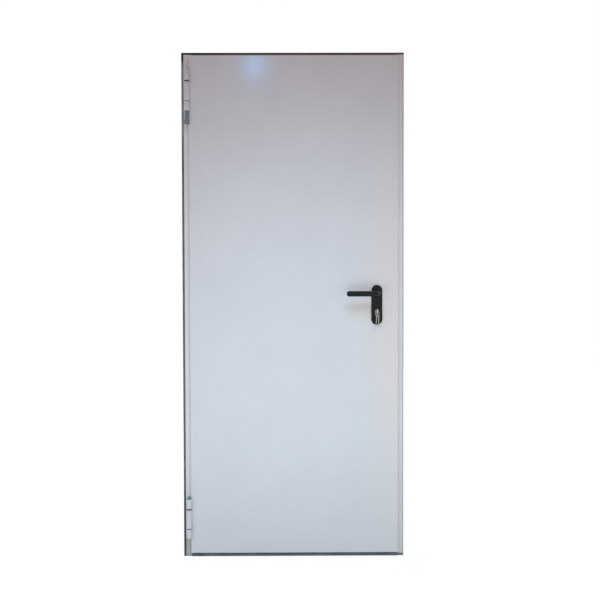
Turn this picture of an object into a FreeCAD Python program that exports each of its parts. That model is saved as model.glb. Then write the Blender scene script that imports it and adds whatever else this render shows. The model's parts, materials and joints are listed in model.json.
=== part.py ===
import FreeCAD, Part
import math
import os
import Sketcher
from FreeCAD import Placement, Rotation, Vector

# Single-leaf steel fire door in its frame, seen closed. Millimetres, X to the right, +Z up.
# Y = 0 is the front of the frame's face and +Y goes into the wall; the leaf opens towards -Y.
# The origin is at floor level, midway across the frame, on the underside of the threshold.

rightAngle = 90
doc = FreeCAD.newDocument("fire_door")
sheet = doc.addObject("Spreadsheet::Sheet", "Sizes")

drivingSizes = {
    # whole frame
    "overallWidth": 900,
    "overallHeight": 2050,
    "jointStripWidth": 8,
    "jointStripDepth": 12,
    # folded frame profile
    "frameSheet": 2,
    "sideFace": 40,
    "headFace": 24,
    "wallReturn": 14,
    "rebateDepth": 44,
    "stopWidth": 20,
    "frameDepth": 100,
    "backReturn": 22,
    "profileBend": 2.5,
    # threshold
    "thresholdHeight": 12,
    "thresholdNose": 4,
    "thresholdDepth": 60,
    "thresholdFit": 0.2,
    "thresholdEdge": 2,
    # leaf
    "lipOverlap": 16,
    "lipThickness": 19,
    "lipGap": 5,
    "bodyThickness": 42,
    "hingeGap": 5,
    "lockGap": 7,
    "headGap": 5,
    "leafBottom": 20,
    "skinSheet": 1.5,
    "edgeFold": 1.2,
    # seals
    "sealClearance": 0.5,
    "sealWidth": 10,
    "sealInset": 5,
    "bottomSealWidth": 12,
    "bottomSealDrop": 3,
    "coreWindowHalf": 20,
    "coreWindowRoom": 6,
    # hinges
    "knuckleRadius": 11,
    "barrelGap": 1.5,
    "axisOutset": 6.5,
    "pinRadius": 5,
    "pinFit": 0.05,
    "upperHingeDrop": 72.5,
    "lowerHingeTop": 244,
    "topKnuckle": 38,
    "bearingGap": 6,
    "leafKnuckle": 75,
    "footGap": 3,
    "bottomKnuckle": 37,
    "bearingRadius": 9.5,
    "bearingFit": 0.3,
    "footWidth": 14,
    "footLeafGap": 1.5,
    "capHeight": 14,
    "capTipRadius": 2,
    "bluntHeight": 8,
    "bluntTipRadius": 6,
    "capInset": 1,
    "springSleeve": 39,
    "springSleeveRadius": 9,
    "springCollar": 13,
    "springCollarRadius": 10.5,
    "tommyHoleRadius": 2,
    # lock and handles
    "spindleInset": 65,
    "leverHeight": 1077,
    "cylinderDrop": 72,
    "plateHeight": 160,
    "plateWidth": 44,
    "plateAbove": 34,
    "plateThickness": 9,
    "plateEdge": 2,
    "leverRadius": 11,
    "leverReach": 52,
    "leverBend": 9,
    "leverTipEdge": 5,
    "leverLength": 125,
    "leverFit": 0.08,
    "leverSeat": 0.3,
    "spindleSide": 8,
    "spindleHoleRadius": 9,
    "followerRadius": 6.5,
    "spindleSocket": 25,
    "lockCaseWidth": 15,
    "lockCaseHeight": 165,
    "lockCaseAbove": 60,
    "lockCaseDepth": 85,
    "forendWidth": 24,
    "forendHeight": 235,
    "forendAbove": 90,
    "forendThickness": 3,
    "latchHeight": 32,
    "latchWidth": 13,
    "boltDrop": 94,
    "boltHeight": 36,
    "boltFit": 0.2,
    "keeperRoom": 2.5,
    "keeperDepth": 16,
    # profile cylinder and keys
    "cylinderRadius": 8.5,
    "cylinderLeg": 10,
    "cylinderTotal": 33,
    "cylinderProud": 3,
    "cylinderFit": 0.15,
    "leafCylinderRoom": 1,
    "plugRadius": 6.5,
    "plugLength": 32,
    "keyThickness": 2.2,
    "keyFit": 0.05,
    "keyBladeHeight": 8,
    "keyBladeLength": 25,
    "keyBowRadius": 11,
    "keyBowHole": 3.2,
    "keyBowRim": 2.3,
    "keyNeck": 4,
    "keyShankHeight": 9,
    "keyTeeth": 4,
    "toothPitch": 4.5,
    "toothHalf": 1.8,
    "toothDepth": 2,
    "keyTilt": 6,
    "ringRadius": 8,
    "ringWire": 0.8,
    "ringSlack": 0.95,
    "spareSpread": 24,
    "spareTurn": 6,
    "spareSplay": 3,
    # wall fixings
    "anchorHoleRadius": 5.25,
    "anchorFirst": 200,
    "anchorDrop": 192,
    "anchorCount": 4,
}

derivedSizes = {
    # frame
    "halfWidth": "overallWidth / 2",
    "outerLeft": "-overallWidth / 2",
    "frameLeft": "jointStripWidth - halfWidth",
    "frameTop": "overallHeight - jointStripWidth",
    "rebateLeft": "frameLeft + sideFace",
    "rebateRight": "halfWidth - sideFace",
    "rebateTop": "frameTop - headFace",
    "openingLeft": "rebateLeft + stopWidth",
    "openingRight": "rebateRight - stopWidth",
    "openingTop": "rebateTop - stopWidth",
    "rebateSpan": "rebateRight - rebateLeft",
    "anchorY": "(rebateDepth + frameDepth) / 2",
    "anchorSpacing": "(frameTop - anchorDrop - anchorFirst) / (anchorCount - 1)",
    "thresholdFront": "-thresholdNose",
    "thresholdBack": "thresholdDepth - thresholdNose",
    "stopFront": "rebateDepth - frameSheet",
    "innerBend": "profileBend - frameSheet",
    # leaf
    "lipLeft": "rebateLeft - lipOverlap",
    "lipRight": "rebateRight + lipOverlap",
    "lipTop": "rebateTop + lipOverlap",
    "leafFront": "-lipGap - lipThickness",
    "lipBack": "-lipGap",
    "leafBack": "bodyThickness - lipGap",
    "bodyLeft": "rebateLeft + hingeGap",
    "bodyRight": "rebateRight - lockGap",
    "bodyTop": "rebateTop - headGap",
    "lockY": "bodyThickness / 2 - lipGap",
    "bodySpan": "bodyRight - bodyLeft",
    "bottomSealHalf": "bottomSealWidth / 2",
    "bottomSealFoot": "bottomSealWidth / 4",
    "sealFront": "leafBack + sealClearance",
    "sealDepth": "stopFront - sealFront",
    # hinges
    "axisX": "lipLeft - axisOutset",
    "axisY": "leafFront - barrelGap - knuckleRadius",
    "upperHingeTop": "frameTop - upperHingeDrop",
    "footHalf": "footWidth / 2",
    "capRadius": "knuckleRadius - capInset",
    "collarHalf": "springCollar / 2",
    "hingeSpan": "topKnuckle + bearingGap + leafKnuckle + footGap + bottomKnuckle",
    # handles
    "spindleX": "bodyRight - spindleInset",
    "cylinderZ": "leverHeight - cylinderDrop",
    "plateTop": "leverHeight + plateAbove",
    "plateBottom": "plateTop - plateHeight",
    "plateFront": "leafFront - plateThickness",
    "plateBack": "leafBack + plateThickness",
    "plateEnd": "plateWidth / 2",
    "leverFrontY": "plateFront - leverReach",
    "leverBackY": "plateBack + leverReach",
    "leverTip": "spindleX - leverLength",
    "cylinderFront": "plateFront - cylinderProud",
    "cylinderBack": "plateBack + cylinderProud",
    "legHalf": "cylinderLeg / 2",
    "legEnd": "cylinderZ + cylinderRadius - cylinderTotal + legHalf",
    "cylinderLength": "cylinderBack - cylinderFront",
    "leafThickness": "lipThickness + bodyThickness",
    "spindleHalf": "spindleSide / 2",
    "spindleLength": "leafThickness + 2 * leverSeat + 2 * spindleSocket",
    # keys
    "keyHalf": "keyThickness / 2",
    "bladeHalf": "keyBladeHeight / 2",
    "shankHalf": "keyShankHeight / 2",
    "bowOffset": "keyBowRadius - keyBowHole - keyBowRim",
    "bowCorner": "keyBowRadius * (sqrt(2) - 1)",
    "shankEnd": "bowOffset + keyBowRadius + keyNeck",
    "ringSag": "keyBowHole - ringWire - ringSlack",
    # forend, lock case and bolts
    "forendTop": "leverHeight + forendAbove",
    "forendLow": "forendTop - forendHeight",
    "forendBack": "bodyRight - forendThickness",
    "caseTop": "leverHeight + lockCaseAbove",
    "caseLow": "caseTop - lockCaseHeight",
    "caseInner": "forendBack - lockCaseDepth",
    "boltZ": "leverHeight - boltDrop",
    "latchHalf": "latchHeight / 2",
    "latchSide": "latchWidth / 2",
    "boltHalf": "boltHeight / 2",
    "keeperHalf": "latchSide + keeperRoom",
    "caseHalf": "lockCaseWidth / 2",
    "forendHalf": "forendWidth / 2",
}

for row, (alias, value) in enumerate(drivingSizes.items(), start=1):
    sheet.set(f"A{row}", alias)
    sheet.set(f"B{row}", str(value))
    sheet.setAlias(f"B{row}", alias)
for row, (alias, formula) in enumerate(derivedSizes.items(), start=1):
    sheet.set(f"C{row}", alias)
    sheet.set(f"D{row}", "=" + formula)
    sheet.setAlias(f"D{row}", alias)
doc.recompute()


def size(words):
    """Sum of cells of the sheet, such as "leafFront + skinSheet"."""
    total = 0.0
    sign = 1
    for word in words.split():
        if word in "+-":
            sign = 1 if word == "+" else -1
        elif word != "0":
            total += sign * float(sheet.get(word))
    return total


def cells(words):
    """The same sum as an expression that follows the sheet."""
    return " ".join(word if word in "+-0" else f"Sizes.{word}" for word in words.split())


def newBody(label):
    body = doc.addObject("PartDesign::Body", label)
    body.Label = label
    return body


def sketchOn(body, name, plane, offset="0"):
    """Sketch on XY, XZ or YZ, moved to a coordinate along +Z, +Y or +X."""
    sketch = body.newObject("Sketcher::SketchObject", name)
    support = [item for item in body.Origin.OriginFeatures if item.Role == plane + "_Plane"]
    sketch.AttachmentSupport = [(support[0], "")]
    sketch.MapMode = "FlatFace"
    turn = "-" if plane == "XZ" else ""
    sketch.setExpression("AttachmentOffset.Base.z", f"{turn}({cells(offset)})")
    return sketch


def hold(sketch, kind, words, geometry, point, start=(-1, 1)):
    """Ties one distance of the sketch to the sheet."""
    constraint = Sketcher.Constraint(kind, start[0], start[1], geometry, point, size(words))
    number = sketch.addConstraint(constraint)
    sketch.setExpression(f"Constraints[{number}]", cells(words))


def polygon(sketch, corners):
    first = sketch.GeometryCount
    count = len(corners)
    spots = [Vector(size(across), size(up), 0) for across, up in corners]
    for index in range(count):
        sketch.addGeometry(Part.LineSegment(spots[index], spots[(index + 1) % count]), False)
    for index in range(count):
        following = first + (index + 1) % count
        sketch.addConstraint(Sketcher.Constraint("Coincident", first + index, 2, following, 1))
    for index, (across, up) in enumerate(corners):
        hold(sketch, "DistanceX", across, first + index, 1)
        hold(sketch, "DistanceY", up, first + index, 1)


def rectangle(sketch, left, right, low, high):
    polygon(sketch, [(left, low), (right, low), (right, high), (left, high)])


def centredBox(sketch, across, halfWide, up, halfHigh, *room):
    """Rectangle about a point, wider all round by the named clearances."""
    less = "".join(f" - {word}" for word in room)
    more = "".join(f" + {word}" for word in room)
    rectangle(sketch, f"{across} - {halfWide}{less}", f"{across} + {halfWide}{more}",
              f"{up} - {halfHigh}{less}", f"{up} + {halfHigh}{more}")


def circle(sketch, across, up, radius):
    middle = Vector(size(across), size(up), 0)
    number = sketch.addGeometry(Part.Circle(middle, Vector(0, 0, 1), size(radius)), False)
    hold(sketch, "DistanceX", across, number, 3)
    hold(sketch, "DistanceY", up, number, 3)
    constraint = sketch.addConstraint(Sketcher.Constraint("Radius", number, size(radius)))
    sketch.setExpression(f"Constraints[{constraint}]", cells(radius))


def slot(sketch, across, low, high, radius):
    """Upright slot whose two end arcs have their centres at low and high."""
    middleX, lowZ, highZ, reach = size(across), size(low), size(high), size(radius)
    normal = Vector(0, 0, 1)
    topCircle = Part.Circle(Vector(middleX, highZ, 0), normal, reach)
    lowCircle = Part.Circle(Vector(middleX, lowZ, 0), normal, reach)
    top = sketch.addGeometry(Part.ArcOfCircle(topCircle, 0, math.pi), False)
    left = sketch.addGeometry(
        Part.LineSegment(Vector(middleX - reach, highZ, 0), Vector(middleX - reach, lowZ, 0)), False)
    bottom = sketch.addGeometry(Part.ArcOfCircle(lowCircle, math.pi, 2 * math.pi), False)
    right = sketch.addGeometry(
        Part.LineSegment(Vector(middleX + reach, lowZ, 0), Vector(middleX + reach, highZ, 0)), False)
    for one, end, other, start in ((top, 2, left, 1), (left, 2, bottom, 1),
                                   (bottom, 2, right, 1), (right, 2, top, 1)):
        sketch.addConstraint(Sketcher.Constraint("Tangent", one, end, other, start))
    for arc, height in ((top, high), (bottom, low)):
        hold(sketch, "DistanceX", across, arc, 3)
        hold(sketch, "DistanceY", height, arc, 3)
    sketch.addConstraint(Sketcher.Constraint("Equal", top, bottom))
    constraint = sketch.addConstraint(Sketcher.Constraint("Radius", top, reach))
    sketch.setExpression(f"Constraints[{constraint}]", cells(radius))


def extrude(body, kind, sketch, length, forward=True, through=False):
    """Pad or pocket that runs towards +X, +Y or +Z, or the other way."""
    feature = body.newObject("PartDesign::" + kind, kind + sketch.Name)
    feature.Profile = sketch
    if through:
        feature.Type = "ThroughAll"
    else:
        feature.setExpression("Length", cells(length))
    facesBack = "XZ" in sketch.AttachmentSupport[0][0].Role
    feature.Reversed = (forward == facesBack) if kind == "Pad" else (forward != facesBack)
    return feature


def pad(body, sketch, length, forward=True):
    return extrude(body, "Pad", sketch, length, forward)


def pocket(body, sketch, length, forward=True):
    return extrude(body, "Pocket", sketch, length, forward)


def pocketThrough(body, sketch, forward=True):
    return extrude(body, "Pocket", sketch, "0", forward, through=True)


def edgesWhere(feature, test):
    """Names of the edges whose every end and middle pass the test."""
    names = []
    for number, edge in enumerate(feature.Shape.Edges, start=1):
        middle = edge.valueAt((edge.FirstParameter + edge.LastParameter) / 2)
        if all(test(point) for point in [vertex.Point for vertex in edge.Vertexes] + [middle]):
            names.append(f"Edge{number}")
    return names


def dressEdges(body, kind, base, amount, test):
    """Fillet or chamfer of the edges that pass the test."""
    doc.recompute()
    dress = body.newObject("PartDesign::" + kind, kind + base.Name)
    dress.Base = (base, edgesWhere(base, test))
    dress.setExpression("Radius" if kind == "Fillet" else "Size", cells(amount))
    return dress


def near(first, second):
    return abs(first - second) < 1e-4


# Frame
def jambProfile(outer, rebate, opening, away, toward):
    """Plan of one jamb: wall return, face, rebate, stop, lining and back return in one folded sheet."""
    backEdge = f"{opening} {away} backReturn"
    liningInside = f"{opening} {away} frameSheet"
    rebateInside = f"{rebate} {away} frameSheet"
    outerInside = f"{outer} {toward} frameSheet"
    return [
        (outer, "wallReturn"), (outer, "0"), (rebate, "0"), (rebate, "stopFront"),
        (opening, "stopFront"), (opening, "frameDepth"), (backEdge, "frameDepth"),
        (backEdge, "frameDepth - frameSheet"), (liningInside, "frameDepth - frameSheet"),
        (liningInside, "rebateDepth"), (rebateInside, "rebateDepth"), (rebateInside, "frameSheet"),
        (outerInside, "frameSheet"), (outerInside, "wallReturn"),
    ]


def foldEdges(body, profile, corners, outline):
    """Radii of the sheet's bends outside and inside, but for the one at the back of the rebate."""
    folded = profile
    for radius, numbers in (("profileBend", (1, 2, 4, 5)), ("innerBend", (8, 9, 11, 12))):
        spots = [(size(corners[number][0]), size(corners[number][1])) for number in numbers]
        folded = dressEdges(body, "Fillet", folded, radius, lambda point: any(
            near(outline(point)[0], across) and near(outline(point)[1], up) for across, up in spots))


def anchorHoles(body, opening, forward):
    sketch = sketchOn(body, "AnchorHole", "YZ", opening)
    circle(sketch, "anchorY", "anchorFirst", "anchorHoleRadius")
    hole = pocket(body, sketch, "frameSheet", forward)
    pattern = body.newObject("PartDesign::LinearPattern", "AnchorRow")
    pattern.Originals = [hole]
    pattern.Direction = (sketch, ["V_Axis"])
    pattern.Mode = "Spacing"
    pattern.setExpression("Offset", "Sizes.anchorSpacing")
    pattern.setExpression("Occurrences", "Sizes.anchorCount")
    body.Tip = pattern


def thresholdNotch(body):
    sketch = sketchOn(body, "ThresholdNotch", "XY")
    rectangle(sketch, "lipLeft - thresholdFit", "lipRight + thresholdFit",
              "thresholdFront - thresholdFit", "thresholdBack + thresholdFit")
    pocket(body, sketch, "thresholdHeight + thresholdFit")


def hingeJamb():
    body = newBody("hinge_jamb")
    sketch = sketchOn(body, "JambProfile", "XY")
    corners = jambProfile("frameLeft", "rebateLeft", "openingLeft", "-", "+")
    polygon(sketch, corners)
    foldEdges(body, pad(body, sketch, "frameTop"), corners, lambda point: (point.x, point.y))
    thresholdNotch(body)
    anchorHoles(body, "openingLeft", False)


def lockJamb():
    body = newBody("lock_jamb")
    sketch = sketchOn(body, "JambProfile", "XY")
    corners = jambProfile("halfWidth", "rebateRight", "openingRight", "+", "-")
    polygon(sketch, corners)
    foldEdges(body, pad(body, sketch, "frameTop"), corners, lambda point: (point.x, point.y))
    thresholdNotch(body)
    cuts = sketchOn(body, "KeeperHoles", "YZ", "rebateRight")
    centredBox(cuts, "lockY", "latchSide", "leverHeight", "latchHalf", "keeperRoom")
    centredBox(cuts, "lockY", "latchSide", "boltZ", "boltHalf", "keeperRoom")
    pocket(body, cuts, "frameSheet")
    anchorHoles(body, "openingRight", True)


def frameHead():
    body = newBody("frame_head")
    sketch = sketchOn(body, "HeadProfile", "YZ", "rebateLeft")
    corners = jambProfile("frameTop", "rebateTop", "openingTop", "+", "-")
    polygon(sketch, [(up, across) for across, up in corners])
    foldEdges(body, pad(body, sketch, "rebateSpan"), corners, lambda point: (point.z, point.y))
    cope = sketchOn(body, "Cope", "XY")
    rectangle(cope, "rebateLeft", "openingLeft", "stopFront", "frameDepth")
    rectangle(cope, "openingRight", "rebateRight", "stopFront", "frameDepth")
    pocketThrough(body, cope)


def threshold():
    body = newBody("threshold")
    sketch = sketchOn(body, "ThresholdPlan", "XY")
    rectangle(sketch, "lipLeft", "lipRight", "thresholdFront", "thresholdBack")
    slab = pad(body, sketch, "thresholdHeight")
    top = size("thresholdHeight")
    dressEdges(body, "Chamfer", slab, "thresholdEdge", lambda point: near(point.z, top))


def jointStrip():
    body = newBody("joint_strip")
    sketch = sketchOn(body, "StripOutline", "XZ")
    polygon(sketch, [("outerLeft", "0"), ("frameLeft", "0"), ("frameLeft", "frameTop"),
                     ("halfWidth", "frameTop"), ("halfWidth", "overallHeight"),
                     ("outerLeft", "overallHeight")])
    pad(body, sketch, "jointStripDepth")


def frameSeal():
    body = newBody("frame_seal")
    sketch = sketchOn(body, "SealOutline", "XZ", "sealFront")
    inside = "sealInset + sealWidth"
    polygon(sketch, [("rebateLeft + sealInset", "thresholdHeight"),
                     ("rebateLeft + sealInset", "rebateTop - sealInset"),
                     ("rebateRight - sealInset", "rebateTop - sealInset"),
                     ("rebateRight - sealInset", "thresholdHeight"),
                     ("rebateRight - sealInset - sealWidth", "thresholdHeight"),
                     ("rebateRight - sealInset - sealWidth", "rebateTop - sealInset - sealWidth"),
                     (f"rebateLeft + {inside}", "rebateTop - sealInset - sealWidth"),
                     (f"rebateLeft + {inside}", "thresholdHeight")])
    pad(body, sketch, "sealDepth")


def keeperBox():
    """Dust box welded behind the two keeper holes of the lock jamb."""
    body = newBody("keeper_box")
    block = sketchOn(body, "BoxBlock", "YZ", "rebateRight + frameSheet")
    rectangle(block, "lockY - keeperHalf - frameSheet", "lockY + keeperHalf + frameSheet",
              "boltZ - boltHalf - keeperRoom - frameSheet",
              "leverHeight + latchHalf + keeperRoom + frameSheet")
    pad(body, block, "keeperDepth")
    hollow = sketchOn(body, "BoxHollow", "YZ", "rebateRight + frameSheet")
    rectangle(hollow, "lockY - keeperHalf", "lockY + keeperHalf",
              "boltZ - boltHalf - keeperRoom", "leverHeight + latchHalf + keeperRoom")
    pocket(body, hollow, "keeperDepth - frameSheet")


# Leaf
def pearHole(body, name, start, extra, length):
    """Opening for the profile cylinder, wider than it by the given clearance."""
    ring = sketchOn(body, name + "Round", "XZ", start)
    circle(ring, "spindleX", "cylinderZ", f"cylinderRadius + {extra}")
    pocket(body, ring, length)
    leg = sketchOn(body, name + "Leg", "XZ", start)
    slot(leg, "spindleX", "legEnd", "cylinderZ", f"legHalf + {extra}")
    pocket(body, leg, length)


def spindleHole(body, name, start, radius, length):
    sketch = sketchOn(body, name, "XZ", start)
    circle(sketch, "spindleX", "leverHeight", radius)
    pocket(body, sketch, length)


def forendRecess(body, name):
    sketch = sketchOn(body, name, "YZ", "bodyRight")
    slot(sketch, "lockY", "forendLow + forendHalf", "forendTop - forendHalf", "forendHalf")
    pocket(body, sketch, "forendThickness", False)


def leafFrontSkin():
    """Folded tray: front sheet, lip on three sides and the edges of the thicker body behind it."""
    body = newBody("leaf_front_skin")
    lip = sketchOn(body, "LipOutline", "XZ", "leafFront")
    rectangle(lip, "lipLeft", "lipRight", "leafBottom", "lipTop")
    lipPad = pad(body, lip, "lipThickness")
    front = size("leafFront")
    dressEdges(body, "Chamfer", lipPad, "edgeFold", lambda point: near(point.y, front))
    thick = sketchOn(body, "BodyOutline", "XZ", "lipBack")
    rectangle(thick, "bodyLeft", "bodyRight", "leafBottom", "bodyTop")
    pad(body, thick, "bodyThickness - skinSheet")
    lipHollow = sketchOn(body, "LipHollow", "XZ", "leafFront + skinSheet")
    rectangle(lipHollow, "lipLeft + skinSheet", "lipRight - skinSheet",
              "leafBottom + skinSheet", "lipTop - skinSheet")
    pocket(body, lipHollow, "lipThickness - skinSheet - skinSheet")
    bodyHollow = sketchOn(body, "BodyHollow", "XZ", "lipBack - skinSheet")
    rectangle(bodyHollow, "bodyLeft + skinSheet", "bodyRight - skinSheet",
              "leafBottom + skinSheet", "bodyTop - skinSheet")
    pocket(body, bodyHollow, "bodyThickness")
    forendRecess(body, "ForendRecess")
    spindleHole(body, "SpindleHole", "leafFront", "spindleHoleRadius", "skinSheet")
    pearHole(body, "Cylinder", "leafFront", "leafCylinderRoom", "skinSheet")


def leafBackSkin():
    body = newBody("leaf_back_skin")
    sketch = sketchOn(body, "BackOutline", "XZ", "leafBack - skinSheet")
    rectangle(sketch, "bodyLeft", "bodyRight", "leafBottom", "bodyTop")
    pad(body, sketch, "skinSheet")
    spindleHole(body, "SpindleHole", "leafBack - skinSheet", "spindleHoleRadius", "skinSheet")
    pearHole(body, "Cylinder", "leafBack - skinSheet", "leafCylinderRoom", "skinSheet")


def leafCore():
    """Mineral wool that fills the lip and the body of the leaf."""
    body = newBody("leaf_core")
    lip = sketchOn(body, "LipFill", "XZ", "leafFront + skinSheet")
    rectangle(lip, "lipLeft + skinSheet", "lipRight - skinSheet",
              "leafBottom + skinSheet", "lipTop - skinSheet")
    pad(body, lip, "lipThickness - skinSheet - skinSheet")
    thick = sketchOn(body, "BodyFill", "XZ", "lipBack - skinSheet")
    rectangle(thick, "bodyLeft + skinSheet", "bodyRight - skinSheet",
              "leafBottom + skinSheet", "bodyTop - skinSheet")
    pad(body, thick, "bodyThickness")
    forendRecess(body, "ForendRecess")
    case = sketchOn(body, "CaseRecess", "YZ", "bodyRight")
    rectangle(case, "lockY - caseHalf", "lockY + caseHalf", "caseLow", "caseTop")
    pocket(body, case, "forendThickness + lockCaseDepth", False)
    window = sketchOn(body, "LockWindow", "XZ", "leafFront")
    rectangle(window, "spindleX - coreWindowHalf", "spindleX + coreWindowHalf",
              "legEnd - legHalf - coreWindowRoom", "leverHeight + spindleHoleRadius + coreWindowRoom")
    pocket(body, window, "leafThickness")


def bottomSeal():
    body = newBody("bottom_seal")
    sketch = sketchOn(body, "SealSection", "YZ", "bodyLeft")
    polygon(sketch, [("lockY - bottomSealHalf", "leafBottom"), ("lockY + bottomSealHalf", "leafBottom"),
                     ("lockY + bottomSealFoot", "leafBottom - bottomSealDrop"),
                     ("lockY - bottomSealFoot", "leafBottom - bottomSealDrop")])
    pad(body, sketch, "bodySpan")


# Lock
def lockCase():
    body = newBody("lock_case")
    block = sketchOn(body, "CaseBlock", "YZ", "caseInner")
    rectangle(block, "lockY - caseHalf", "lockY + caseHalf", "caseLow", "caseTop")
    pad(body, block, "lockCaseDepth")
    spindleHole(body, "SpindleHole", "lockY - caseHalf", "followerRadius", "lockCaseWidth")
    pearHole(body, "Cylinder", "lockY - caseHalf", "leafCylinderRoom", "lockCaseWidth")


def forend():
    body = newBody("forend")
    sketch = sketchOn(body, "ForendOutline", "YZ", "forendBack")
    slot(sketch, "lockY", "forendLow + forendHalf", "forendTop - forendHalf", "forendHalf")
    pad(body, sketch, "forendThickness")
    holes = sketchOn(body, "BoltHoles", "YZ", "forendBack")
    centredBox(holes, "lockY", "latchSide", "leverHeight", "latchHalf", "boltFit")
    centredBox(holes, "lockY", "latchSide", "boltZ", "boltHalf", "boltFit")
    pocket(body, holes, "forendThickness")


def bolt(label, middle, half):
    """Latch or dead bolt drawn in, its nose level with the forend."""
    body = newBody(label)
    sketch = sketchOn(body, "NoseSection", "YZ", "forendBack")
    centredBox(sketch, "lockY", "latchSide", middle, half)
    pad(body, sketch, "forendThickness")


def profileCylinder():
    body = newBody("profile_cylinder")
    ring = sketchOn(body, "Barrel", "XZ", "cylinderFront")
    circle(ring, "spindleX", "cylinderZ", "cylinderRadius")
    pad(body, ring, "cylinderLength")
    leg = sketchOn(body, "Leg", "XZ", "cylinderFront")
    slot(leg, "spindleX", "legEnd", "cylinderZ", "legHalf")
    pad(body, leg, "cylinderLength")
    bore = sketchOn(body, "PlugBore", "XZ", "cylinderFront")
    circle(bore, "spindleX", "cylinderZ", "plugRadius + keyFit")
    pocket(body, bore, "plugLength + keyFit")


# Handles
def handlePlate(label, start, outer):
    """Full-radius plate with the collar hole for the lever and the opening for the cylinder."""
    body = newBody(label)
    outline = sketchOn(body, "PlateOutline", "XZ", start)
    slot(outline, "spindleX", "plateBottom + plateEnd", "plateTop - plateEnd", "plateEnd")
    slab = pad(body, outline, "plateThickness")
    face = size(outer)
    dressEdges(body, "Chamfer", slab, "plateEdge", lambda point: near(point.y, face))
    collar = sketchOn(body, "CollarHole", "XZ", start)
    circle(collar, "spindleX", "leverHeight", "leverRadius + leverFit")
    pocket(body, collar, "plateThickness")
    pearHole(body, "Cylinder", start, "cylinderFit", "plateThickness")


def leverHandle(label, neckEnd, barAxis, outward):
    """Round bar swept from the neck over a mitred elbow to the grip, which points to the hinges."""
    body = newBody(label)
    route = sketchOn(body, "LeverRoute", "XY", "leverHeight")
    elbow = f"{barAxis} - leverBend" if outward else f"{barAxis} + leverBend"
    turns = [("spindleX", neckEnd), ("spindleX", elbow),
             ("spindleX - leverBend", barAxis), ("leverTip", barAxis)]
    spots = [Vector(size(across), size(up), 0) for across, up in turns]
    for number, (start, end) in enumerate(zip(spots, spots[1:])):
        route.addGeometry(Part.LineSegment(start, end), False)
        hold(route, "DistanceX", turns[number][0], number, 1)
        hold(route, "DistanceY", turns[number][1], number, 1)
        if number:
            route.addConstraint(Sketcher.Constraint("Coincident", number - 1, 2, number, 1))
    hold(route, "DistanceX", turns[-1][0], route.GeometryCount - 1, 2)
    hold(route, "DistanceY", turns[-1][1], route.GeometryCount - 1, 2)
    section = sketchOn(body, "LeverSection", "XZ", neckEnd)
    circle(section, "spindleX", "leverHeight", "leverRadius")
    bar = body.newObject("PartDesign::AdditivePipe", "LeverBar")
    bar.Profile = section
    bar.Spine = (route, [f"Edge{number}" for number in range(1, len(turns))])
    bar.Transition = "Right corner"
    tip = size("leverTip")
    dressEdges(body, "Chamfer", bar, "leverTipEdge", lambda point: near(point.x, tip))
    socket = sketchOn(body, "SpindleSocket", "XZ", neckEnd)
    centredBox(socket, "spindleX", "spindleHalf", "leverHeight", "spindleHalf")
    pocket(body, socket, "spindleSocket", outward)


def leverSpindle():
    body = newBody("lever_spindle")
    start = "leafFront - leverSeat - spindleSocket"
    sketch = sketchOn(body, "SpindleSection", "XZ", start)
    centredBox(sketch, "spindleX", "spindleHalf", "leverHeight", "spindleHalf")
    pad(body, sketch, "spindleLength")


# Keys: each is drawn with the middle of its ring hole at the local origin and its blade along +Y
def keyBody(label):
    body = newBody(label)
    blade = sketchOn(body, "Blade", "YZ")
    teeth = [("shankEnd", "bladeHalf"), ("shankEnd", "0 - bladeHalf")]
    for number in range(1, int(size("keyTeeth")) + 1):
        along = "shankEnd" + " + toothPitch" * number
        teeth.append((along + " - toothHalf", "0 - bladeHalf"))
        teeth.append((along, "toothDepth - bladeHalf"))
        teeth.append((along + " + toothHalf", "0 - bladeHalf"))
    teeth.append(("shankEnd + keyBladeLength - bladeHalf", "0 - bladeHalf"))
    teeth.append(("shankEnd + keyBladeLength", "0"))
    teeth.append(("shankEnd + keyBladeLength - bladeHalf", "bladeHalf"))
    polygon(blade, teeth)
    bladePad = pad(body, blade, "keyThickness")
    bladePad.Midplane = True
    shank = sketchOn(body, "Shank", "YZ")
    rectangle(shank, "bowOffset", "shankEnd", "0 - shankHalf", "shankHalf")
    shankPad = pad(body, shank, "keyThickness")
    shankPad.Midplane = True
    bow = sketchOn(body, "Bow", "YZ")
    ends = ("bowOffset + keyBowRadius", "bowOffset - keyBowRadius")
    shoulders = ("bowOffset + bowCorner", "bowOffset - bowCorner")
    polygon(bow, [(ends[0], "0 - bowCorner"), (ends[0], "bowCorner"),
                  (shoulders[0], "keyBowRadius"), (shoulders[1], "keyBowRadius"),
                  (ends[1], "bowCorner"), (ends[1], "0 - bowCorner"),
                  (shoulders[1], "0 - keyBowRadius"), (shoulders[0], "0 - keyBowRadius")])
    bowPad = pad(body, bow, "keyThickness")
    bowPad.Midplane = True
    hole = sketchOn(body, "RingHole", "YZ")
    circle(hole, "0", "0", "keyBowHole")
    cut = pocket(body, hole, "keyThickness + keyThickness")
    cut.Midplane = True
    return body


def axisTurn(degrees):
    return Rotation(Vector(0, 1, 0), degrees)


def doorKey():
    body = keyBody("door_key")
    place = Vector(size("spindleX"), size("cylinderFront - shankEnd"), size("cylinderZ"))
    body.Placement = Placement(place, axisTurn(size("keyTilt")))


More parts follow.
